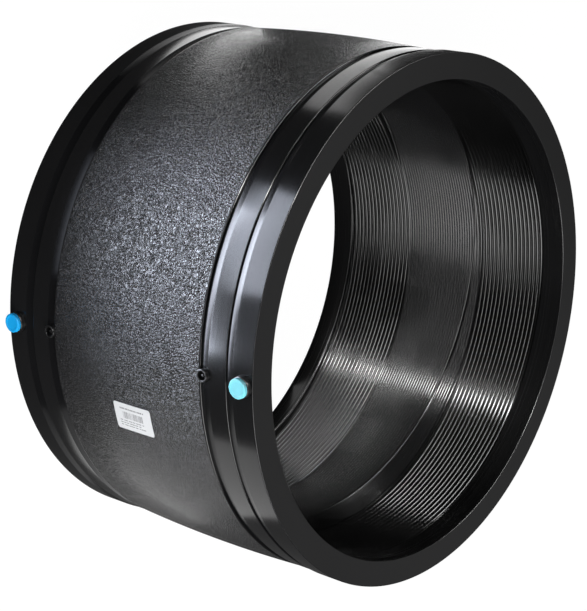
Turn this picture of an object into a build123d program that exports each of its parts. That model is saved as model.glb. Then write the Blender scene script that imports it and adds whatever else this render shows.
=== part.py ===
from build123d import *
import math
import os

# Electrofusion coupler for 400 mm polyethylene pipe.
# The bore runs along +Z. The coupler stands on its lower end face, with the origin at that face's centre.
# Both terminals and both fusion indicators look along -Y. All sizes are in millimetres.

os.makedirs("parts", exist_ok=True)

# ---------------------------------------------------------------- driving dimensions
LENGTH = 268.0
BORE_R = 202.0

# Outside of the sleeve, each figure counted from the nearer end face
END_BAND_R = 224.0
END_EDGE = 1.0
END_BAND_WIDTH = 20.0
STEP_BAND_R = 223.2
STEP_BAND_START = 27.3
STEP_BAND_END = 45.3
OUTER_GROOVE_R = 222.0
INNER_GROOVE_R = 221.6
CROWN_START = 53.0
CROWN_EDGE_R = 223.5
CROWN_R = 225.9

# Heating winding: coated wire laid side by side in a turned seat, once for each pipe end
WIRE_PITCH = 4.35
SEAT_R = 203.2
COIL_R = 201.3
COIL_SETBACK = 21.5
COIL_TURNS = {"lower": 17, "upper": 16}

# Loose turns of the wire, which lie on the bore: the crossover and the two leads
LOOSE_WIDTH = 2.8
LOOSE_CREST_R = 201.35
CROSSOVER_START = 114.1
CROSSOVER_SWEEP = 379.0
LOWER_LEAD_SWEEP = 205.0
UPPER_LEAD_SWEEP = 108.0

# Terminals
TERMINAL_SETBACK = 9.75
TERMINAL_AZIMUTH = -90.0
SHROUD_RIM_RHO = 227.8
SHROUD_FLOOR_RHO = 213.5
SHROUD_BASE_RHO = 211.0
SHROUD_R = 8.6
SOCKET_R = 5.2
CONTACT_R = 2.35
CONTACT_TIP_RHO = 224.5
CONTACT_TIP_CHAMFER = 0.5
TAIL_R = 1.6
TAIL_END_RHO = 202.2
STUB_R = 1.5
STUB_END_RHO = 201.55

# Terminal caps
CAP_R = 8.0
CAP_HEIGHT = 3.2
CAP_TOP_CHAMFER = 0.8
CAP_PLUG_R = 5.0
CAP_PLUG_END_RHO = 225.2

# Fusion indicators
INDICATOR_SETBACK = 49.7
INDICATOR_R = 5.2
INDICATOR_WELL_R = 3.7
INDICATOR_RIM_RHO = 226.3
INDICATOR_RIM_CHAMFER = 0.4
INDICATOR_BASE_RHO = 217.0
INDICATOR_PIN_R = 1.25
INDICATOR_PIN_TIP_RHO = 224.9
INDICATOR_PIN_FOOT_RHO = 206.0
INDICATOR_HOLE_R = 1.32
INDICATOR_HOLE_END_RHO = 205.5

# Label
LABEL_LENGTH = 40.0
LABEL_THICKNESS = 0.25
LABEL_CENTRE_Z = 138.2
LABEL_START_AZIMUTH = -78.85
LABEL_ARC = 6.3

# Reach of a cut beyond the wall on its inner and on its outer side
INSIDE_RHO = 200.0
BEYOND_RHO = 240.0
ENDS = ("lower", "upper")


# ---------------------------------------------------------------- helpers
def height_from_end(end, setback):
    """Height above the lower face of a feature set back from one of the two end faces."""
    return setback if end == "lower" else LENGTH - setback


def radial_plane(rho, height):
    """Plane that faces -Y at a distance rho from the bore axis."""
    return Plane(origin=(0, -rho, height), x_dir=(1, 0, 0), z_dir=(0, -1, 0))


def azimuth_plane(azimuth):
    """Plane through the bore axis: local X is the radius at this azimuth, local Y is +Z."""
    angle = math.radians(azimuth)
    outward = Vector(math.cos(angle), math.sin(angle), 0)
    return Plane(origin=(0, 0, 0), x_dir=outward, z_dir=outward.cross(Vector(0, 0, 1)))


def crown_sagitta(height):
    """Drop of the crowned middle below its largest radius, on its arc of a circle."""
    half_span = LENGTH / 2 - CROWN_START
    rise = CROWN_R - CROWN_EDGE_R
    arc_radius = (half_span**2 + rise**2) / (2 * rise)
    return arc_radius - math.sqrt(arc_radius**2 - (height - LENGTH / 2) ** 2)


def outer_profile():
    """Outline of one end of the sleeve, from the bore mouth to the crown, as (radius, setback) pairs."""
    return [
        (BORE_R, 0),
        (END_BAND_R - END_EDGE, 0),
        (END_BAND_R, END_EDGE),
        (END_BAND_R, END_BAND_WIDTH),
        (OUTER_GROOVE_R, STEP_BAND_START),
        (STEP_BAND_R, STEP_BAND_START),
        (STEP_BAND_R, STEP_BAND_END),
        (INNER_GROOVE_R, CROWN_START),
        (CROWN_EDGE_R, CROWN_START),
    ]


def coil_range(end):
    """Lowest and highest height of the coil that heats one end."""
    outer = height_from_end(end, COIL_SETBACK)
    inner = height_from_end(end, COIL_SETBACK + COIL_TURNS[end] * WIRE_PITCH)
    return min(outer, inner), max(outer, inner)


def coil_section(end, inner_r):
    """Sketch rectangle of one coil or of its seat, from this radius out to the seat."""
    low, high = coil_range(end)
    with Locations(((inner_r + SEAT_R) / 2, (low + high) / 2)):
        Rectangle(SEAT_R - inner_r, high - low)


def rod(radius, inner_rho, outer_rho, height, mode=Mode.ADD):
    """Round rod or hole that points at the bore axis, between two distances from it."""
    with Locations(radial_plane(inner_rho, height)):
        Cylinder(radius, outer_rho - inner_rho, align=(Align.CENTER, Align.CENTER, Align.MIN), mode=mode)


def loose_wire(rise, sweep_angle):
    """A length of wire that lies on the bore and climbs as it runs round, from azimuth 0 and height 0."""
    turns = sweep_angle / 360
    with BuildPart() as wire:
        with BuildLine() as route:
            Helix(pitch=rise / turns, height=rise, radius=BORE_R)
        with BuildSketch(Plane.XZ):
            with BuildLine():
                Polyline(
                    (BORE_R, -LOOSE_WIDTH / 2), (LOOSE_CREST_R, 0), (BORE_R, LOOSE_WIDTH / 2), close=True
                )
            make_face()
        sweep(path=route.line, is_frenet=True)
    return wire.part


# ---------------------------------------------------------------- sleeve
with BuildPart() as coupler_body:
    with BuildSketch(Plane.XZ):
        with BuildLine():
            lower_edge = outer_profile()
            upper_edge = [(radius, LENGTH - setback) for radius, setback in reversed(lower_edge)]
            Polyline(*lower_edge)
            ThreePointArc(lower_edge[-1], (CROWN_R, LENGTH / 2), upper_edge[0])
            Polyline(*upper_edge)
            Line(upper_edge[-1], lower_edge[0])
        make_face()
    revolve(axis=Axis.Z)

    # Turned seats for the two coils
    for end in ENDS:
        with BuildSketch(Plane.XZ):
            coil_section(end, INSIDE_RHO)
        revolve(axis=Axis.Z, mode=Mode.SUBTRACT)

    # Holes for the terminals, the indicators, the contacts' tails and the melt pins
    for end in ENDS:
        terminal_height = height_from_end(end, TERMINAL_SETBACK)
        rod(SHROUD_R, SHROUD_BASE_RHO, BEYOND_RHO, terminal_height, mode=Mode.SUBTRACT)
        rod(TAIL_R, INSIDE_RHO, SHROUD_BASE_RHO, terminal_height, mode=Mode.SUBTRACT)
        indicator_height = height_from_end(end, INDICATOR_SETBACK)
        rod(INDICATOR_R, INDICATOR_BASE_RHO, BEYOND_RHO, indicator_height, mode=Mode.SUBTRACT)
        rod(INDICATOR_HOLE_R, INDICATOR_HOLE_END_RHO, INDICATOR_BASE_RHO, indicator_height, mode=Mode.SUBTRACT)

coupler_body.part.label = "coupler_body"
export_step(coupler_body.part, "parts/coupler_body.step")

# ---------------------------------------------------------------- heating winding
# One wire: lower terminal, lower lead, lower coil, crossover, upper coil, upper lead, upper terminal.
lower_terminal_height = height_from_end("lower", TERMINAL_SETBACK)
upper_terminal_height = height_from_end("upper", TERMINAL_SETBACK)
lower_low, lower_high = coil_range("lower")
upper_low, upper_high = coil_range("upper")
half_pitch = WIRE_PITCH / 2
crossover_rise = (upper_low + half_pitch) - (lower_high - half_pitch)
lower_lead_rise = (lower_low + half_pitch) - lower_terminal_height
upper_lead_rise = upper_terminal_height - (upper_high - half_pitch)

crossover = loose_wire(crossover_rise, CROSSOVER_SWEEP)
lower_lead = loose_wire(lower_lead_rise, LOWER_LEAD_SWEEP)
upper_lead = loose_wire(upper_lead_rise, UPPER_LEAD_SWEEP)

with BuildPart() as heating_winding:
    for end in ENDS:
        with BuildSketch(Plane.XZ):
            coil_section(end, COIL_R)
        revolve(axis=Axis.Z)
    with Locations(Location((0, 0, lower_high - half_pitch), (0, 0, CROSSOVER_START))):
        add(crossover)
    with Locations(Location((0, 0, lower_terminal_height), (0, 0, TERMINAL_AZIMUTH))):
        add(lower_lead)
    with Locations(Location((0, 0, upper_high - half_pitch), (0, 0, TERMINAL_AZIMUTH - UPPER_LEAD_SWEEP))):
        add(upper_lead)
    for terminal_height in (lower_terminal_height, upper_terminal_height):
        rod(STUB_R, STUB_END_RHO, TAIL_END_RHO, terminal_height)

heating_winding.part.label = "heating_winding"
export_step(heating_winding.part, "parts/heating_winding.step")


# ---------------------------------------------------------------- terminals and their caps
def outermost_edge(part):
    """Round edge that stands furthest out along -Y."""
    return part.edges().filter_by(GeomType.CIRCLE).sort_by(Axis.Y)[0]


def terminal_shroud(height):
    """Socket that guides the welding plug, set in the wall and standing proud of it as a collar."""
    with BuildPart() as shroud:
        rod(SHROUD_R, SHROUD_BASE_RHO, SHROUD_RIM_RHO, height)
        rod(SOCKET_R, SHROUD_FLOOR_RHO, SHROUD_RIM_RHO, height, mode=Mode.SUBTRACT)
        rod(TAIL_R, SHROUD_BASE_RHO, SHROUD_FLOOR_RHO, height, mode=Mode.SUBTRACT)
    return shroud.part


def contact_pin(height):
    """Brass contact: a pin that stands on the shroud's floor and a tail that runs down to the wire."""
    with BuildPart() as contact:
        rod(TAIL_R, TAIL_END_RHO, SHROUD_FLOOR_RHO, height)
        rod(CONTACT_R, SHROUD_FLOOR_RHO, CONTACT_TIP_RHO, height)
        chamfer(outermost_edge(contact), length=CONTACT_TIP_CHAMFER)
    return contact.part


def terminal_cap(height):
    """Push-in cap: a round button on the collar and a short plug inside the socket."""
    with BuildPart() as cap:
        rod(CAP_R, SHROUD_RIM_RHO, SHROUD_RIM_RHO + CAP_HEIGHT, height)
        chamfer(outermost_edge(cap), length=CAP_TOP_CHAMFER)
        rod(CAP_PLUG_R, CAP_PLUG_END_RHO, SHROUD_RIM_RHO, height)
    return cap.part


# ---------------------------------------------------------------- fusion indicators
def indicator_bush(height):
    """Raised ring round the indicator's well, set into the wall over the coil."""
    with BuildPart() as bush:
        rod(INDICATOR_R, INDICATOR_BASE_RHO, INDICATOR_RIM_RHO, height)
        chamfer(outermost_edge(bush), length=INDICATOR_RIM_CHAMFER)
        rod(INDICATOR_WELL_R, INDICATOR_BASE_RHO, INDICATOR_RIM_RHO, height, mode=Mode.SUBTRACT)
    return bush.part


def indicator_pin(height):
    """Pin that the melt pushes outward when the joint has fused."""
    with BuildPart() as pin:
        rod(INDICATOR_PIN_R, INDICATOR_PIN_FOOT_RHO, INDICATOR_PIN_TIP_RHO, height)
    return pin.part


SMALL_PIECES = (
    ("terminal_shroud", terminal_shroud, TERMINAL_SETBACK),
    ("contact_pin", contact_pin, TERMINAL_SETBACK),
    ("terminal_cap", terminal_cap, TERMINAL_SETBACK),
    ("indicator_bush", indicator_bush, INDICATOR_SETBACK),
    ("indicator_pin", indicator_pin, INDICATOR_SETBACK),
)

for end in ENDS:
    for piece_name, make_piece, setback in SMALL_PIECES:
        piece = make_piece(height_from_end(end, setback))
        piece.label = f"{end}_{piece_name}"
        export_step(piece, f"parts/{end}_{piece_name}.step")

# ---------------------------------------------------------------- label
# A thin sheet that follows the crowned middle of the sleeve
label_low = LABEL_CENTRE_Z - LABEL_LENGTH / 2
label_high = LABEL_CENTRE_Z + LABEL_LENGTH / 2
label_edge = [
    (CROWN_R - crown_sagitta(label_low), label_low),
    (CROWN_R, LENGTH / 2),
    (CROWN_R - crown_sagitta(label_high), label_high),
]
label_face = [(radius + LABEL_THICKNESS, height) for radius, height in label_edge]

with BuildPart() as label:
    with BuildSketch(azimuth_plane(LABEL_START_AZIMUTH)):
        with BuildLine():
            ThreePointArc(*label_edge)
            Line(label_edge[-1], label_face[-1])
            ThreePointArc(*reversed(label_face))
            Line(label_face[0], label_edge[0])
        make_face()
    revolve(axis=Axis.Z, revolution_arc=LABEL_ARC)

label.part.label = "label"
export_step(label.part, "parts/label.step")
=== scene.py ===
"""Looks of the electrofusion coupler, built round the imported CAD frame."""

import math
import random

import bmesh
import bpy
import numpy as np
from mathutils import Matrix, Vector


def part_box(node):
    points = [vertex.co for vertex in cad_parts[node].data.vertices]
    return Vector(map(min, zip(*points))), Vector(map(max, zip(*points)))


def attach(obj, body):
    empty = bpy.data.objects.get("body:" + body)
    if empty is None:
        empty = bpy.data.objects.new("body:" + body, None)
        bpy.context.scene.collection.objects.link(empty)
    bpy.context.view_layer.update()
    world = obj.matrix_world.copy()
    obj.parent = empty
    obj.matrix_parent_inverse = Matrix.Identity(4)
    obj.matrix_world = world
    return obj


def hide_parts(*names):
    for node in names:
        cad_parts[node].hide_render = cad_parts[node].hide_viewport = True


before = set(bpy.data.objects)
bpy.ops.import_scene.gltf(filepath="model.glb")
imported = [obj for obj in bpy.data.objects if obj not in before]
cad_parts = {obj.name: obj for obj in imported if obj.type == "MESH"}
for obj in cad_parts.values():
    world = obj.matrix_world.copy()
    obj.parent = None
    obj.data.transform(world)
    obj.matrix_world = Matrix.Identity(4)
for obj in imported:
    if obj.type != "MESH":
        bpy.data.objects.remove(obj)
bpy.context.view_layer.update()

MM = 0.001
ENDS = ("lower", "upper")

# ------------------------------------------------------------------ sizes read from the frame
sleeve_low, sleeve_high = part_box("coupler_body")
LENGTH = sleeve_high.z - sleeve_low.z
SEAT_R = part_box("heating_winding")[1].x
label_low, label_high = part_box("label")
CAP_AXIS = {end: sum(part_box(f"{end}_terminal_cap"), Vector()) / 2 for end in ENDS}
INDICATOR_AXIS = {end: sum(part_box(f"{end}_indicator_pin"), Vector()) / 2 for end in ENDS}

# ------------------------------------------------------------------ the sleeve, as in the part's source
BORE_R = 202.0 * MM
END_BAND_R = 224.0 * MM
END_BAND_WIDTH = 20.0 * MM
STEP_BAND_R = 223.2 * MM
STEP_BAND_START = 27.3 * MM
STEP_BAND_END = 45.3 * MM
OUTER_GROOVE_R = 222.0 * MM
INNER_GROOVE_R = 221.6 * MM
CROWN_START = 53.0 * MM
CROWN_EDGE_R = 223.5 * MM
CROWN_R = 225.9 * MM
RIM_WIDTH = 1.6 * MM
COIL_SETBACK = 21.5 * MM
WIRE_PITCH = 4.35 * MM
COIL_TURNS = {"lower": 17, "upper": 16}
MOUTH_EDGE = 0.9 * MM
OUTER_EDGE = 0.5 * MM
GROOVE_EDGE = 0.35 * MM
STEP_EDGE = 0.7 * MM
CROWN_EDGE = 0.95 * MM
CUT_END_RHO = 240.0 * MM
SLEEVE_SEGMENTS = 384
CROWN_STEPS = 24

# ------------------------------------------------------------------ the winding
CREST_R = 201.15 * MM
VALLEY_R = 202.9 * MM
WIRE_BACK_R = 203.1 * MM
LOOSE_CREST_R = 201.3 * MM
LOOSE_BACK_R = 202.15 * MM
LOOSE_WIDTH = 3.0 * MM
STEPS_PER_TURN = 200
TERMINAL_AZIMUTH = -90.0
LOWER_LEAD_SWEEP = 205.0
CROSSOVER_START = 114.1
CROSSOVER_SWEEP = 379.0
UPPER_LEAD_SWEEP = 108.0
RISE_OUT_SWEEP = 14.0


# ------------------------------------------------------------------ mesh helpers
def new_object(name, vertices, faces, material_slots=(), face_slots=None, smooth=True):
    """Object with this mesh, at the origin."""
    mesh = bpy.data.meshes.new(name)
    mesh.from_pydata([tuple(v) for v in vertices], [], [tuple(f) for f in faces])
    for material in material_slots:
        mesh.materials.append(material)
    if face_slots is not None:
        mesh.polygons.foreach_set("material_index", list(face_slots))
    mesh.polygons.foreach_set("use_smooth", [smooth] * len(mesh.polygons))
    mesh.update()
    obj = bpy.data.objects.new(name, mesh)
    bpy.context.scene.collection.objects.link(obj)
    return obj


def rounded_outline(corners, arc_steps=4, support=0.35 * MM):
    """Closed outline with its corners rounded.

    Each corner is (radius, height, fillet, zone), and the zone is that of the run from it to the next one.
    Returns the points and the zone of the run that leaves each point.
    """
    points = []
    zones = []
    count = len(corners)
    for index, (radius, height, fillet, zone) in enumerate(corners):
        here = Vector((radius, height))
        before = Vector(corners[index - 1][:2])
        after = Vector(corners[(index + 1) % count][:2])
        zone_before = corners[index - 1][3]
        if fillet <= 0:
            points.append(here)
            zones.append(zone)
            continue
        back = (before - here).normalized()
        ahead = (after - here).normalized()
        angle = back.angle(ahead)
        reach = min(fillet / math.tan(angle / 2), 0.45 * (before - here).length, 0.45 * (after - here).length)
        real_fillet = reach * math.tan(angle / 2)
        centre = here + (back + ahead).normalized() * (real_fillet / math.sin(angle / 2))
        start = here + back * reach
        end = here + ahead * reach
        first_angle = math.atan2(start.y - centre.y, start.x - centre.x)
        turn = math.atan2(end.y - centre.y, end.x - centre.x) - first_angle
        turn = (turn + math.pi) % (2 * math.pi) - math.pi
        if (before - here).length > reach + 3 * support:
            points.append(here + back * (reach + support))
            zones.append(zone_before)
        for step in range(arc_steps + 1):
            a = first_angle + turn * step / arc_steps
            points.append(centre + Vector((math.cos(a), math.sin(a))) * real_fillet)
            zones.append(zone_before if step < arc_steps / 2 else zone)
        if (after - here).length > reach + 3 * support:
            points.append(here + ahead * (reach + support))
            zones.append(zone)
    return points, zones


def lathe_mesh(points, segments):
    """Vertices and quads of a closed outline turned about +Z. Faces run outline first, then round."""
    angles = np.linspace(0, 2 * math.pi, segments, endpoint=False)
    radii = np.array([p[0] for p in points])
    heights = np.array([p[1] for p in points])
    vertices = np.stack(
        [
            np.outer(np.cos(angles), radii),
            np.outer(np.sin(angles), radii),
            np.broadcast_to(heights, (segments, len(points))),
        ],
        axis=-1,
    ).reshape(-1, 3)
    count = len(points)
    faces = []
    for a in range(segments):
        b = (a + 1) % segments
        for p in range(count):
            q = (p + 1) % count
            faces.append((a * count + p, b * count + p, b * count + q, a * count + q))
    return vertices, faces


def turned_piece(name, outline, axis_point, materials, segments=96):
    """Piece turned about a -Y axis. The outline is (distance from that axis, distance from the bore axis)."""
    points, _ = rounded_outline([(r, h, f, 0) for r, h, f in outline], support=0.15 * MM)
    angles = np.linspace(0, 2 * math.pi, segments, endpoint=False)
    count = len(points)
    vertices = []
    for a in angles:
        for point in points:
            vertices.append(
                (axis_point.x + point[0] * math.cos(a), -point[1], axis_point.z + point[0] * math.sin(a))
            )
    faces = []
    for a in range(segments):
        b = (a + 1) % segments
        for p in range(count):
            q = (p + 1) % count
            faces.append((a * count + p, a * count + q, b * count + q, b * count + p))
    obj = new_object(name, vertices, faces, materials)
    weld_and_face_out(obj)
    return obj


def weld_and_face_out(obj):
    """Merges points that coincide on an axis, drops flat faces and turns the normals outward."""
    work = bmesh.new()
    work.from_mesh(obj.data)
    bmesh.ops.remove_doubles(work, verts=work.verts, dist=0.002 * MM)
    bmesh.ops.dissolve_degenerate(work, edges=work.edges, dist=0.001 * MM)
    bmesh.ops.recalc_face_normals(work, faces=work.faces)
    work.to_mesh(obj.data)
    work.free()


# ------------------------------------------------------------------ materials
def node_material(name):
    """Empty node material, with its Principled shader and its node and link lists."""
    material = bpy.data.materials.new(name)
    material.use_nodes = True
    tree = material.node_tree
    shader = tree.nodes["Principled BSDF"]
    return material, tree, shader


def object_coordinates(tree, scale=(1, 1, 1)):
    """Object coordinates, stretched by a scale for each axis."""
    coordinates = tree.nodes.new("ShaderNodeTexCoord")
    mapping = tree.nodes.new("ShaderNodeMapping")
    mapping.inputs["Scale"].default_value = scale
    tree.links.new(coordinates.outputs["Object"], mapping.inputs["Vector"])
    return mapping.outputs["Vector"]


def noise(tree, vector, scale, detail=2.0, roughness=0.5, distortion=0.0):
    node = tree.nodes.new("ShaderNodeTexNoise")
    node.inputs["Scale"].default_value = scale
    node.inputs["Detail"].default_value = detail
    node.inputs["Roughness"].default_value = roughness
    node.inputs["Distortion"].default_value = distortion
    tree.links.new(vector, node.inputs["Vector"])
    return node.outputs["Fac"]


def ramp(tree, value, low, high, low_out=0.0, high_out=1.0):
    """Maps a value from one range to another, held at the ends."""
    node = tree.nodes.new("ShaderNodeMapRange")
    node.inputs["From Min"].default_value = low
    node.inputs["From Max"].default_value = high
    node.inputs["To Min"].default_value = low_out
    node.inputs["To Max"].default_value = high_out
    tree.links.new(value, node.inputs["Value"])
    return node.outputs["Result"]


def colour_between(tree, value, first, second):
    node = tree.nodes.new("ShaderNodeMix")
    node.data_type = "RGBA"
    node.inputs[6].default_value = (*first, 1)
    node.inputs[7].default_value = (*second, 1)
    tree.links.new(value, node.inputs[0])
    return node.outputs[2]


def bump(tree, shader, height, strength, distance, below=None):
    node = tree.nodes.new("ShaderNodeBump")
    node.inputs["Strength"].default_value = strength
    node.inputs["Distance"].default_value = distance
    tree.links.new(height, node.inputs["Height"])
    if below is not None:
        tree.links.new(below, node.inputs["Normal"])
    tree.links.new(node.outputs["Normal"], shader.inputs["Normal"])
    return node.outputs["Normal"]


BLACK = (0.004, 0.004, 0.0043)
BLACK_WORN = (0.008, 0.008, 0.0085)


def turned_plastic(name, along, line_scale, strength, roughness, specular=0.5):
    """Turned polyethylene: fine cutter lines that run round the bore axis.

    The lines vary along the height on a wall, or along the radius on an end face.
    """
    material, tree, shader = node_material(name)
    if along == "height":
        line_vector = object_coordinates(tree, (2, 2, line_scale))
    else:
        plain = object_coordinates(tree, (1, 1, 0))
        length = tree.nodes.new("ShaderNodeVectorMath")
        length.operation = "LENGTH"
        tree.links.new(plain, length.inputs[0])
        combine = tree.nodes.new("ShaderNodeCombineXYZ")
        scaled = tree.nodes.new("ShaderNodeMath")
        scaled.operation = "MULTIPLY"
        scaled.inputs[1].default_value = line_scale
        tree.links.new(length.outputs["Value"], scaled.inputs[0])
        tree.links.new(scaled.outputs[0], combine.inputs["X"])
        line_vector = combine.outputs["Vector"]
    lines = noise(tree, line_vector, 1.0, detail=4, roughness=0.65)
    patches = noise(tree, object_coordinates(tree), 9.0, detail=3)
    tree.links.new(colour_between(tree, patches, BLACK, BLACK_WORN), shader.inputs["Base Color"])
    tree.links.new(
        ramp(tree, lines, 0.3, 0.7, roughness - 0.04, roughness + 0.05), shader.inputs["Roughness"]
    )
    shader.inputs["Specular IOR Level"].default_value = specular
    bump(tree, shader, lines, strength, 0.05 * MM)
    return material


def turned_bore(name, pitch, depth, roughness):
    """Bore wall between the coils: even cutter grooves of this pitch, like a very fine thread."""
    material, tree, shader = node_material(name)
    vector = object_coordinates(tree)
    split = tree.nodes.new("ShaderNodeSeparateXYZ")
    tree.links.new(vector, split.inputs[0])
    wander = noise(tree, object_coordinates(tree, (6, 6, 40)), 1.0, detail=3)
    shift = ramp(tree, wander, 0.0, 1.0, 0.0, 1.6)
    phase = tree.nodes.new("ShaderNodeMath")
    phase.operation = "MULTIPLY_ADD"
    phase.inputs[1].default_value = 2 * math.pi / pitch
    tree.links.new(split.outputs["Z"], phase.inputs[0])
    tree.links.new(shift, phase.inputs[2])
    groove = tree.nodes.new("ShaderNodeMath")
    groove.operation = "SINE"
    tree.links.new(phase.outputs[0], groove.inputs[0])
    patches = noise(tree, vector, 14.0, detail=3)
    tree.links.new(colour_between(tree, patches, BLACK, BLACK_WORN), shader.inputs["Base Color"])
    tree.links.new(
        ramp(tree, wander, 0.3, 0.7, roughness - 0.03, roughness + 0.05), shader.inputs["Roughness"]
    )
    bump(tree, shader, groove.outputs[0], 1.0, depth)
    return material


def grained_plastic():
    """Leather grain of the sleeve's middle: small raised cells with furrows between them."""
    material, tree, shader = node_material("grained_polyethylene")
    vector = object_coordinates(tree)
    warp = tree.nodes.new("ShaderNodeTexNoise")
    warp.inputs["Scale"].default_value = 420.0
    tree.links.new(vector, warp.inputs["Vector"])
    shifted = tree.nodes.new("ShaderNodeVectorMath")
    shifted.operation = "MULTIPLY_ADD"
    shifted.inputs[1].default_value = (1.2 * MM, 1.2 * MM, 1.2 * MM)
    tree.links.new(warp.outputs["Color"], shifted.inputs[0])
    tree.links.new(vector, shifted.inputs[2])
    cells = tree.nodes.new("ShaderNodeTexVoronoi")
    cells.feature = "DISTANCE_TO_EDGE"
    cells.inputs["Scale"].default_value = 520.0
    tree.links.new(shifted.outputs["Vector"], cells.inputs["Vector"])
    domes = ramp(tree, cells.outputs["Distance"], 0.0, 0.4)
    fine = noise(tree, vector, 900.0, detail=3)
    broad = noise(tree, vector, 12.0, detail=2)
    tops = ramp(tree, noise(tree, vector, 760.0, detail=1), 0.38, 0.64)
    tree.links.new(
        colour_between(tree, tops, (0.002, 0.002, 0.002), (0.020, 0.020, 0.0215)), shader.inputs["Base Color"]
    )
    tree.links.new(ramp(tree, broad, 0.3, 0.7, 0.15, 0.19), shader.inputs["Roughness"])
    first = bump(tree, shader, domes, 1.0, 0.6 * MM)
    bump(tree, shader, fine, 1.0, 0.5 * MM, below=first)
    return material


def moulded_plastic(name, dark, light, roughness, specular=0.5):
    """Smooth moulding with a faint orange-peel skin and a little variation of tone."""
    material, tree, shader = node_material(name)
    vector = object_coordinates(tree)
    tone = noise(tree, vector, 120.0, detail=3)
    skin = noise(tree, vector, 900.0, detail=2)
    tree.links.new(colour_between(tree, tone, dark, light), shader.inputs["Base Color"])
    tree.links.new(ramp(tree, skin, 0.3, 0.7, roughness - 0.03, roughness + 0.05), shader.inputs["Roughness"])
    shader.inputs["Specular IOR Level"].default_value = specular
    bump(tree, shader, skin, 0.2, 0.03 * MM)
    return material


def turned_brass():
    material, tree, shader = node_material("contact_brass")
    lines = noise(tree, object_coordinates(tree, (60, 2600, 60)), 1.0, detail=3)
    tree.links.new(
        colour_between(tree, lines, (0.62, 0.43, 0.16), (0.83, 0.63, 0.3)), shader.inputs["Base Color"]
    )
    tree.links.new(ramp(tree, lines, 0.3, 0.7, 0.2, 0.32), shader.inputs["Roughness"])
    shader.inputs["Metallic"].default_value = 1.0
    bump(tree, shader, lines, 0.25, 0.02 * MM)
    return material


def label_paper():
    material, tree, shader = node_material("label_paper")
    fibres = noise(tree, object_coordinates(tree), 2200.0, detail=4)
    tree.links.new(
        colour_between(tree, fibres, (0.78, 0.79, 0.80), (0.86, 0.87, 0.88)), shader.inputs["Base Color"]
    )
    tree.links.new(ramp(tree, fibres, 0.3, 0.7, 0.42, 0.55), shader.inputs["Roughness"])
    bump(tree, shader, fibres, 0.15, 0.02 * MM)
    return material


def print_ink():
    material, tree, shader = node_material("label_ink")
    spots = noise(tree, object_coordinates(tree), 3000.0, detail=2)
    tree.links.new(
        colour_between(tree, spots, (0.2, 0.2, 0.21), (0.28, 0.28, 0.29)), shader.inputs["Base Color"]
    )
    tree.links.new(ramp(tree, spots, 0.3, 0.7, 0.45, 0.6), shader.inputs["Roughness"])
    return material


BAND = turned_plastic("band_polyethylene", "height", 3200, 0.10, 0.16)
GROOVE = turned_plastic("groove_polyethylene", "height", 3200, 0.15, 0.22, specular=0.12)
FACE = turned_plastic("face_polyethylene", "radius", 2600, 0.25, 0.38)
BORE = turned_bore("bore_polyethylene", 2.8 * MM, 0.36 * MM, 0.14)
MOUTH = turned_plastic("mouth_polyethylene", "height", 1400, 0.2, 0.24)
GRAIN = grained_plastic()
WIRE = moulded_plastic("wire_coating", (0.001, 0.001, 0.001), (0.002, 0.002, 0.002), 0.14)
INSERT = moulded_plastic("insert_plastic", (0.006, 0.006, 0.006), (0.011, 0.011, 0.0115), 0.3)
BRASS = turned_brass()
CAP_BLUE = {
    "upper": moulded_plastic("cap_light_blue", (0.20, 0.76, 0.88), (0.26, 0.82, 0.92), 0.45, specular=0.3),
    "lower": moulded_plastic("cap_blue", (0.005, 0.42, 0.93), (0.01, 0.46, 0.96), 0.45, specular=0.3),
}
PAPER = label_paper()
INK = print_ink()


# ------------------------------------------------------------------ the sleeve
def crown_radius(height):
    """Radius of the crowned middle at this height, on its arc of a circle."""
    half_span = LENGTH / 2 - CROWN_START
    rise = CROWN_R - CROWN_EDGE_R
    arc_radius = (half_span**2 + rise**2) / (2 * rise)
    return CROWN_R - arc_radius + math.sqrt(arc_radius**2 - (height - LENGTH / 2) ** 2)


def coil_range(end):
    """Lowest and highest height of the coil that heats one end."""
    width = COIL_TURNS[end] * WIRE_PITCH
    if end == "lower":
        return COIL_SETBACK, COIL_SETBACK + width
    return LENGTH - COIL_SETBACK - width, LENGTH - COIL_SETBACK


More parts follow.
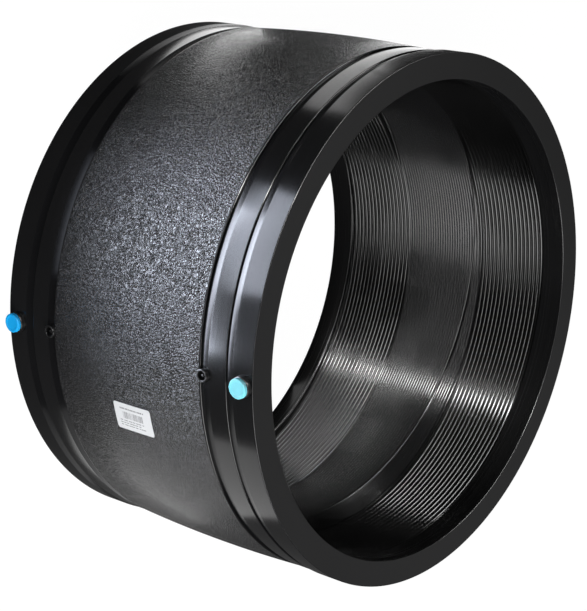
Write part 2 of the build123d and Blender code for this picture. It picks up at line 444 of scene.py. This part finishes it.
def sleeve_corners():
    """Corners of the sleeve's section: up the outside, then down the bore."""
    lower_half = [
        (BORE_R, 0, MOUTH_EDGE, "face"),
        (END_BAND_R, 0, OUTER_EDGE, "band"),
        (END_BAND_R, END_BAND_WIDTH, GROOVE_EDGE, "groove"),
        (OUTER_GROOVE_R, STEP_BAND_START - GROOVE_EDGE, 0, "groove"),
        (OUTER_GROOVE_R, STEP_BAND_START, 0, "band"),
        (STEP_BAND_R, STEP_BAND_START, STEP_EDGE, "band"),
        (STEP_BAND_R, STEP_BAND_END, GROOVE_EDGE, "groove"),
        (INNER_GROOVE_R, CROWN_START - GROOVE_EDGE, 0, "groove"),
        (INNER_GROOVE_R, CROWN_START, 0, "band"),
        (CROWN_EDGE_R, CROWN_START, CROWN_EDGE, "band"),
        (crown_radius(CROWN_START + RIM_WIDTH), CROWN_START + RIM_WIDTH, 0, "grain"),
    ]
    grain_low = CROWN_START + RIM_WIDTH
    grain_high = LENGTH - grain_low
    crown = []
    for step in range(1, CROWN_STEPS):
        height = grain_low + (grain_high - grain_low) * step / CROWN_STEPS
        crown.append((crown_radius(height), height, 0, "grain"))
    upper_half = []
    zones_before = [corner[3] for corner in lower_half[:-1]]
    for index in range(len(lower_half) - 1, -1, -1):
        radius, height, fillet, _ = lower_half[index]
        zone = zones_before[index - 1] if index > 0 else "mouth"
        upper_half.append((radius, LENGTH - height, fillet, zone))
    bore = []
    for end in reversed(ENDS):
        low, high = coil_range(end)
        bore.append((BORE_R, high, 0, "bore"))
        bore.append((SEAT_R, high, 0, "bore"))
        bore.append((SEAT_R, low, 0, "bore"))
        bore.append((BORE_R, low, 0, "bore" if end == "upper" else "mouth"))
    return lower_half + crown + upper_half + bore


def cutter(name, radius, inner_rho, outer_rho, axis_point, segments=64):
    """Closed cylinder along -Y that cuts a hole."""
    ring = [
        (axis_point.x + radius * math.cos(a), axis_point.z + radius * math.sin(a))
        for a in np.linspace(0, 2 * math.pi, segments, endpoint=False)
    ]
    vertices = [(x, -inner_rho, z) for x, z in ring] + [(x, -outer_rho, z) for x, z in ring]
    faces = [tuple(range(segments)), tuple(range(2 * segments - 1, segments - 1, -1))]
    for index in range(segments):
        after = (index + 1) % segments
        faces.append((index, index + segments, after + segments, after))
    obj = new_object(name, vertices, faces)
    weld_and_face_out(obj)
    return obj


def cut_holes(obj, cutters):
    """Cuts the holes for good and takes the cutters away."""
    for tool in cutters:
        modifier = obj.modifiers.new("hole", "BOOLEAN")
        modifier.operation = "DIFFERENCE"
        modifier.solver = "EXACT"
        modifier.object = tool
    bpy.context.view_layer.update()
    depsgraph = bpy.context.evaluated_depsgraph_get()
    cut = bpy.data.meshes.new_from_object(obj.evaluated_get(depsgraph))
    obj.modifiers.clear()
    obj.data = cut
    for tool in cutters:
        bpy.data.objects.remove(tool)


def make_sleeve():
    zone_slots = {"face": 0, "band": 1, "grain": 2, "bore": 3, "groove": 4, "mouth": 5}
    points, zones = rounded_outline(sleeve_corners())
    vertices, faces = lathe_mesh(points, SLEEVE_SEGMENTS)
    face_slots = [zone_slots[zone] for zone in zones] * SLEEVE_SEGMENTS
    sleeve = new_object("sleeve_shell", vertices, faces, (FACE, BAND, GRAIN, BORE, GROOVE, MOUTH), face_slots)
    weld_and_face_out(sleeve)
    cutters = []
    for end in ENDS:
        cutters.append(cutter("cut", SHROUD_R + HOLE_GAP, SHROUD_BASE_RHO, CUT_END_RHO, CAP_AXIS[end]))
        cutters.append(
            cutter("cut", INDICATOR_R + HOLE_GAP, INDICATOR_BASE_RHO, CUT_END_RHO, INDICATOR_AXIS[end])
        )
    cut_holes(sleeve, cutters)
    sleeve.data.set_sharp_from_angle(angle=math.radians(32))
    return sleeve


# ------------------------------------------------------------------ the winding, one wire from end to end
def wire_route():
    """Angle, height and looseness of the wire, from the lower terminal to the upper one."""
    half = WIRE_PITCH / 2
    lower_low, lower_high = coil_range("lower")
    upper_low, upper_high = coil_range("upper")
    upper_turns = COIL_TURNS["upper"] - 1
    lower_turns = COIL_TURNS["lower"] - 1
    angle = TERMINAL_AZIMUTH
    stretches = [(LOWER_LEAD_SWEEP, CAP_AXIS["lower"].z, lower_low + half, True)]
    angle += LOWER_LEAD_SWEEP
    lower_sweep = 360 * lower_turns + (CROSSOVER_START - angle + 180) % 360 - 180
    stretches.append((lower_sweep, lower_low + half, lower_high - half, False))
    angle += lower_sweep
    stretches.append((CROSSOVER_SWEEP, lower_high - half, upper_low + half, True))
    angle += CROSSOVER_SWEEP
    upper_end = TERMINAL_AZIMUTH - UPPER_LEAD_SWEEP
    upper_sweep = 360 * upper_turns + (upper_end - angle + 180) % 360 - 180
    stretches.append((upper_sweep, upper_low + half, upper_high - half, False))
    stretches.append((UPPER_LEAD_SWEEP, upper_high - half, CAP_AXIS["upper"].z, True))

    route = []
    angle = TERMINAL_AZIMUTH
    for sweep, first, last, loose in stretches:
        steps = max(2, round(sweep / 360 * STEPS_PER_TURN))
        for step in range(steps):
            share = step / steps
            travelled = share * sweep
            to_coil = min(
                travelled if first != CAP_AXIS["lower"].z else 1e9,
                sweep - travelled if last != CAP_AXIS["upper"].z else 1e9,
            )
            looseness = min(1.0, to_coil / RISE_OUT_SWEEP) if loose else 0.0
            route.append((angle + travelled, first + (last - first) * share, looseness))
        angle += sweep
    route.append((angle, CAP_AXIS["upper"].z, 1.0))
    return route


def make_winding():
    section_angles = np.radians(np.linspace(-90, 90, 10))
    across = np.sin(section_angles)
    swell = np.cos(section_angles)
    vertices = []
    for angle, height, looseness in wire_route():
        width = WIRE_PITCH + (LOOSE_WIDTH - WIRE_PITCH) * looseness
        crest = CREST_R + (LOOSE_CREST_R - CREST_R) * looseness
        back = WIRE_BACK_R + (LOOSE_BACK_R - WIRE_BACK_R) * looseness
        foot = VALLEY_R + (LOOSE_BACK_R - VALLEY_R) * looseness
        section = [(foot + (crest - foot) * s, u * width / 2) for u, s in zip(across, swell)]
        section += [(back + 0.02 * MM, width / 2), (back + 0.02 * MM, -width / 2)]
        a = math.radians(angle)
        for radius, rise in section:
            vertices.append((radius * math.cos(a), radius * math.sin(a), height + rise))
    count = len(across) + 2
    rings = len(vertices) // count
    faces = []
    for ring in range(rings - 1):
        for p in range(count):
            q = (p + 1) % count
            faces.append(
                (ring * count + p, ring * count + q, (ring + 1) * count + q, (ring + 1) * count + p)
            )
    faces.append(tuple(range(count)))
    faces.append(tuple(range(rings * count - 1, (rings - 1) * count - 1, -1)))
    winding = new_object("wound_wire", vertices, faces, (WIRE,))
    weld_and_face_out(winding)
    winding.data.set_sharp_from_angle(angle=math.radians(50))
    return winding


# ------------------------------------------------------------------ terminals and indicators
SHROUD_R = 8.6 * MM
SHROUD_BASE_RHO = 211.0 * MM
SHROUD_FLOOR_RHO = 213.5 * MM
SHROUD_RIM_RHO = 227.8 * MM
SOCKET_R = 5.2 * MM
CONTACT_R = 2.35 * MM
CONTACT_TIP_RHO = 224.5 * MM
TAIL_R = 1.6 * MM
TAIL_END_RHO = 202.2 * MM
CAP_R = 8.0 * MM
CAP_TOP_RHO = 231.0 * MM
CAP_PLUG_R = 5.0 * MM
CAP_PLUG_END_RHO = 225.2 * MM
INDICATOR_R = 5.2 * MM
INDICATOR_WELL_R = 3.7 * MM
INDICATOR_RIM_RHO = 226.3 * MM
INDICATOR_BASE_RHO = 217.0 * MM
INDICATOR_PIN_R = 1.25 * MM
INDICATOR_PIN_TIP_RHO = 224.9 * MM
INDICATOR_PIN_FOOT_RHO = 206.0 * MM
HOLE_GAP = 0.05 * MM


def make_shroud(end):
    outline = [
        (TAIL_R, SHROUD_BASE_RHO, 0),
        (SHROUD_R, SHROUD_BASE_RHO, 0.2 * MM),
        (SHROUD_R, SHROUD_RIM_RHO, 0.7 * MM),
        (SOCKET_R, SHROUD_RIM_RHO, 0.3 * MM),
        (SOCKET_R, SHROUD_FLOOR_RHO, 0.3 * MM),
        (TAIL_R, SHROUD_FLOOR_RHO, 0),
    ]
    return turned_piece(f"{end}_shroud", outline, CAP_AXIS[end], (INSERT,))


def make_contact(end):
    outline = [
        (0, TAIL_END_RHO, 0),
        (TAIL_R, TAIL_END_RHO, 0.2 * MM),
        (TAIL_R, SHROUD_FLOOR_RHO, 0),
        (CONTACT_R, SHROUD_FLOOR_RHO, 0.1 * MM),
        (CONTACT_R, CONTACT_TIP_RHO, 0.6 * MM),
        (0, CONTACT_TIP_RHO, 0),
    ]
    return turned_piece(f"{end}_contact", outline, CAP_AXIS[end], (BRASS,), segments=64)


def make_cap(end):
    dish = 0.35 * MM
    outline = [
        (0, CAP_PLUG_END_RHO, 0),
        (CAP_PLUG_R, CAP_PLUG_END_RHO, 0.5 * MM),
        (CAP_PLUG_R, SHROUD_RIM_RHO, 0),
        (CAP_R, SHROUD_RIM_RHO, 0.3 * MM),
        (CAP_R, CAP_TOP_RHO, 1.0 * MM),
        (CAP_R - 2.0 * MM, CAP_TOP_RHO, 0.4 * MM),
        (CAP_R - 2.5 * MM, CAP_TOP_RHO - dish, 0.4 * MM),
        (0, CAP_TOP_RHO - dish, 0),
    ]
    return turned_piece(f"{end}_cap", outline, CAP_AXIS[end], (CAP_BLUE[end],))


def make_bush(end):
    outline = [
        (INDICATOR_WELL_R, INDICATOR_BASE_RHO, 0),
        (INDICATOR_R, INDICATOR_BASE_RHO, 0.2 * MM),
        (INDICATOR_R, INDICATOR_RIM_RHO, 0.5 * MM),
        (INDICATOR_WELL_R, INDICATOR_RIM_RHO, 0.3 * MM),
    ]
    return turned_piece(f"{end}_bush", outline, INDICATOR_AXIS[end], (INSERT,), segments=72)


def make_indicator(end):
    outline = [
        (0, INDICATOR_PIN_FOOT_RHO, 0),
        (INDICATOR_PIN_R, INDICATOR_PIN_FOOT_RHO, 0.2 * MM),
        (INDICATOR_PIN_R, INDICATOR_PIN_TIP_RHO, 0.5 * MM),
        (0, INDICATOR_PIN_TIP_RHO, 0),
    ]
    return turned_piece(f"{end}_melt_pin", outline, INDICATOR_AXIS[end], (INSERT,), segments=48)


# ------------------------------------------------------------------ the label
LABEL_THICKNESS = 0.22 * MM
LABEL_CORNER = 1.6 * MM
LABEL_AZIMUTH = math.radians(-75.7)
LABEL_WIDTH = 24.6 * MM
PRINT_RAISE = 0.02 * MM


def on_label(along, around, lift):
    """Point on the sleeve from label coordinates: along the axis, round the wall and off it."""
    height = (label_low.z + label_high.z) / 2 + along
    azimuth = LABEL_AZIMUTH + around / CROWN_R
    radius = crown_radius(height) + lift
    return radius * math.cos(azimuth), radius * math.sin(azimuth), height


def make_label():
    """Paper sheet bent round the sleeve, built from strips so that it follows both curves."""
    half_along = (label_high.z - label_low.z) / 2
    half_around = LABEL_WIDTH / 2
    columns = 41
    rows = 25
    vertices = []
    for layer in (0.0, LABEL_THICKNESS):
        for i in range(columns):
            along = half_along * (2 * i / (columns - 1) - 1)
            past = max(0.0, abs(along) - (half_along - LABEL_CORNER))
            reach = half_around - LABEL_CORNER + math.sqrt(max(0.0, LABEL_CORNER**2 - past**2))
            for j in range(rows):
                around = reach * (2 * j / (rows - 1) - 1)
                vertices.append(on_label(along, around, layer))
    faces = []
    layer_size = columns * rows
    for i in range(columns - 1):
        for j in range(rows - 1):
            a = i * rows + j
            faces.append((a, a + 1, a + rows + 1, a + rows))
            b = a + layer_size
            faces.append((b, b + rows, b + rows + 1, b + 1))
    for i in range(columns - 1):
        for j in (0, rows - 1):
            a = i * rows + j
            faces.append((a, a + rows, a + rows + layer_size, a + layer_size))
    for j in range(rows - 1):
        for i in (0, columns - 1):
            a = i * rows + j
            faces.append((a, a + 1, a + 1 + layer_size, a + layer_size))
    label = new_object("paper_label", vertices, faces, (PAPER,))
    weld_and_face_out(label)
    label.data.set_sharp_from_angle(angle=math.radians(40))
    return label


def print_strip(vertices, faces, along, around, width, height):
    """Adds one printed bar, bent to the label, as a thin raised patch."""
    steps = max(1, round(width / (1.5 * MM)))
    rows = max(1, round(height / (1.5 * MM)))
    start = len(vertices)
    for i in range(steps + 1):
        for j in range(rows + 1):
            vertices.append(
                on_label(
                    along + width * (i / steps - 0.5),
                    around + height * (j / rows - 0.5),
                    LABEL_THICKNESS + PRINT_RAISE,
                )
            )
    for i in range(steps):
        for j in range(rows):
            a = start + i * (rows + 1) + j
            faces.append((a, a + rows + 1, a + rows + 2, a + 1))


def make_print():
    """Generic bars: a row of short dashes, a block of upright bars and a few thin rules."""
    rng = random.Random(7)
    vertices = []
    faces = []
    along = -13 * MM
    while along < 13 * MM:
        width = rng.uniform(0.9, 1.9) * MM
        print_strip(vertices, faces, along, -7.6 * MM, width, 1.3 * MM)
        along += width + 0.55 * MM
    along = -11 * MM
    while along < 11 * MM:
        width = rng.choice((0.25, 0.25, 0.4, 0.6)) * MM
        print_strip(vertices, faces, along, -1.6 * MM, width, 6.2 * MM)
        along += width + rng.choice((0.3, 0.45, 0.7)) * MM
    for around, left, right in ((3.6, -14, 12), (5.8, -14, 8), (8.0, -14, 13)):
        along = left * MM
        while along < right * MM:
            width = rng.uniform(1.0, 3.4) * MM
            print_strip(vertices, faces, along, around * MM, width, 0.7 * MM)
            along += width + 0.7 * MM
    return new_object("label_print", vertices, faces, (INK,))


# ------------------------------------------------------------------ put the pieces on their bodies
def place(obj, body, slot, *nodes):
    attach(obj, body)
    if nodes:
        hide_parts(*nodes)


place(make_sleeve(), "sleeve", "black_polyethylene", "coupler_body")
place(make_winding(), "sleeve", "wire_coating", "heating_winding")
place(make_label(), "sleeve", "label_paper", "label")
place(make_print(), "sleeve", "label_paper")
for end in ENDS:
    place(make_shroud(end), "sleeve", "insert_plastic", f"{end}_terminal_shroud")
    place(make_contact(end), "sleeve", "contact_brass", f"{end}_contact_pin")
    place(make_cap(end), f"{end}_cap", "cap_blue", f"{end}_terminal_cap")
    place(make_bush(end), "sleeve", "insert_plastic", f"{end}_indicator_bush")
    place(make_indicator(end), f"{end}_indicator", "insert_plastic", f"{end}_indicator_pin")


# ------------------------------------------------------------------ floor, light and camera
FLOOR_HALF_SIZE = 9.0
FLOOR_COLOUR = (0.06, 0.06, 0.06, 1)
FLOOR_SEEN = 0.985
FLOOR_MIRRORED = 0.04
WORLD_SEEN = 0.95
WORLD_MIRRORED = 0.01
WORLD_AMBIENT = 0.05


def shown_level(tree, seen, mirrored, ambient=0.0):
    """Strength of a background: near white where it is seen, much lower in gloss, ambient for all rays."""
    path = tree.nodes.new("ShaderNodeLightPath")
    either = tree.nodes.new("ShaderNodeMath")
    either.operation = "MAXIMUM"
    tree.links.new(path.outputs["Is Camera Ray"], either.inputs[0])
    tree.links.new(path.outputs["Is Transmission Ray"], either.inputs[1])
    first = tree.nodes.new("ShaderNodeMath")
    first.operation = "MULTIPLY_ADD"
    first.inputs[1].default_value = seen
    first.inputs[2].default_value = ambient
    tree.links.new(either.outputs[0], first.inputs[0])
    both = tree.nodes.new("ShaderNodeMath")
    both.operation = "MULTIPLY_ADD"
    both.inputs[1].default_value = mirrored
    tree.links.new(path.outputs["Is Glossy Ray"], both.inputs[0])
    tree.links.new(first.outputs[0], both.inputs[2])
    return both.outputs[0]


def make_floor():
    size = FLOOR_HALF_SIZE
    floor = new_object(
        "studio_floor",
        [(-size, -size, 0), (size, -size, 0), (size, size, 0), (-size, size, 0)],
        [(0, 1, 2, 3)],
    )
    material, tree, shader = node_material("floor_paper")
    shader.inputs["Base Color"].default_value = FLOOR_COLOUR
    shader.inputs["Roughness"].default_value = 1.0
    shader.inputs["Specular IOR Level"].default_value = 0.0
    shader.inputs["Emission Color"].default_value = (1, 1, 1, 1)
    tree.links.new(shown_level(tree, FLOOR_SEEN, FLOOR_MIRRORED), shader.inputs["Emission Strength"])
    floor.data.materials.append(material)
    floor.location.z = -0.1 * MM


def make_world():
    world = bpy.data.worlds.new("studio")
    world.use_nodes = True
    tree = world.node_tree
    background = tree.nodes["Background"]
    background.inputs["Color"].default_value = (1, 1, 1, 1)
    level = shown_level(tree, WORLD_SEEN, WORLD_MIRRORED, ambient=WORLD_AMBIENT)
    tree.links.new(level, background.inputs["Strength"])
    bpy.context.scene.world = world


def lamp(name, place, size, radiance, colour=(1, 1, 1), target=None, heading=0.0, spread=180.0):
    """Rectangular lamp of this size and brightness.

    It faces a point. Where no point is given it lies on its back, with its long side along the heading, as a
    reflector that is seen only in the gloss of the walls.
    """
    data = bpy.data.lights.new(name, "AREA")
    data.shape = "RECTANGLE"
    data.size = size[0]
    data.size_y = size[1]
    data.color = colour
    data.energy = radiance * math.pi * size[0] * size[1]
    data.spread = math.radians(spread)
    obj = bpy.data.objects.new(name, data)
    bpy.context.scene.collection.objects.link(obj)
    obj.location = place
    if target is None:
        obj.rotation_euler = (math.pi, 0, math.radians(heading))
        obj.visible_diffuse = False
    else:
        obj.rotation_euler = (Vector(target) - Vector(place)).to_track_quat("-Z", "Y").to_euler()
    obj.visible_camera = False
    return obj


def strip_between(name, first, last, width, radiance, target, colour=(1, 1, 1)):
    """Long lamp whose tube runs from one point to another, seen only in the gloss, facing the target."""
    first = Vector(first)
    last = Vector(last)
    middle = (first + last) / 2
    along = (last - first).normalized()
    away = middle - Vector(target)
    away = (away - along * away.dot(along)).normalized()
    obj = lamp(name, middle, ((last - first).length, width), radiance, colour, target)
    turn = Matrix((along, away.cross(along), away)).transposed()
    obj.rotation_euler = turn.to_euler()
    obj.visible_diffuse = False
    return obj


CAMERA_PLACE = Vector((-427.4, -1153.2, 1089)) * MM
CAMERA_TARGET = Vector((9.6, -10.4, 126.7)) * MM
CAMERA_UP = Vector((-1, -0.0075, 0))
CAMERA_ROLL = 0.3
CAMERA_LENS = 105.0
SENSOR_WIDTH = 36


def make_camera():
    """Camera above the upper end, turned so that -X is up in the picture."""
    camera = bpy.data.cameras.new("camera")
    camera.lens = CAMERA_LENS
    camera.sensor_width = SENSOR_WIDTH
    camera.sensor_fit = "AUTO"
    camera.clip_start = 0.05
    obj = bpy.data.objects.new("camera", camera)
    bpy.context.scene.collection.objects.link(obj)
    forward = (CAMERA_TARGET - CAMERA_PLACE).normalized()
    up = (CAMERA_UP - forward * CAMERA_UP.dot(forward)).normalized()
    right = forward.cross(up)
    facing = Matrix((right, up, -forward)).transposed().to_4x4()
    obj.matrix_world = (
        Matrix.Translation(CAMERA_PLACE) @ facing @ Matrix.Rotation(math.radians(CAMERA_ROLL), 4, "Z")
    )
    bpy.context.scene.camera = obj


make_floor()
make_world()
make_camera()
middle = (0, 0, 0.15)
cool = (0.8, 0.86, 1.0)
# Two overhead strips, seen only in gloss: the bright bar across the bore, and the thin lines on the ridges.
strip_between("key_strip", (-0.805, -0.675, 0.50), (-0.362, 0.039, 1.656), 0.075, 66, middle)
strip_between("side_strip", (-0.63, 0.0, 1.62), (-1.10, 0.84, 0.95), 0.26, 28, middle)
# Soft lamps, the only ones that light surfaces diffusely.
lamp("soft_side", (0.72, -0.70, 1.05), (0.9, 0.9), 7.5, target=middle)
lamp("back_soft", (0.82, 1.48, 1.33), (1.0, 1.0), 0.25, target=middle)
lamp("front_soft", (-0.37, -1.14, 0.16), (1.25, 0.12), 12, target=(0, 0, 0.13), colour=(0.93, 0.95, 1.0))
# Reflectors on the floor, seen only in gloss: the bands and the crown, the grooves, the sides, the bore.
lamp("floor_strip", (-0.286, -0.435, 0.001), (0.32, 0.09), 8.5, cool, heading=-34.4)
lamp("floor_soft", (-0.124, -0.366, 0.001), (0.376, 0.11), 25, cool, heading=-18.3, spread=130)
lamp("floor_near", (-0.148, -0.291, 0.001), (0.18, 0.075), 14, cool, heading=-27, spread=130)
lamp("groove_strip", (-0.155, -0.281, 0.0015), (0.145, 0.045), 10, cool, heading=-29, spread=80)
lamp("floor_left", (-0.455, 0.06, 0.001), (0.21, 0.075), 2.0, heading=70.7)
lamp("floor_back", (-0.305, 0.255, 0.001), (0.30, 0.08), 2.0, heading=39.6)
lamp("floor_foot", (-0.249, -0.01, 0.001), (0.20, 0.022), 2.6, heading=82)
lamp("floor_right", (0.33, -0.253, 0.001), (0.27, 0.34), 1.1, heading=47)
lamp("bore_strip", (-0.01, 0.058, 0.001), (0.25, 0.018), 14, heading=39.6)
lamp("bore_soft", (0.085, 0.06, 0.001), (0.12, 0.15), 0.9)
bpy.context.scene.view_settings.view_transform = "Standard"
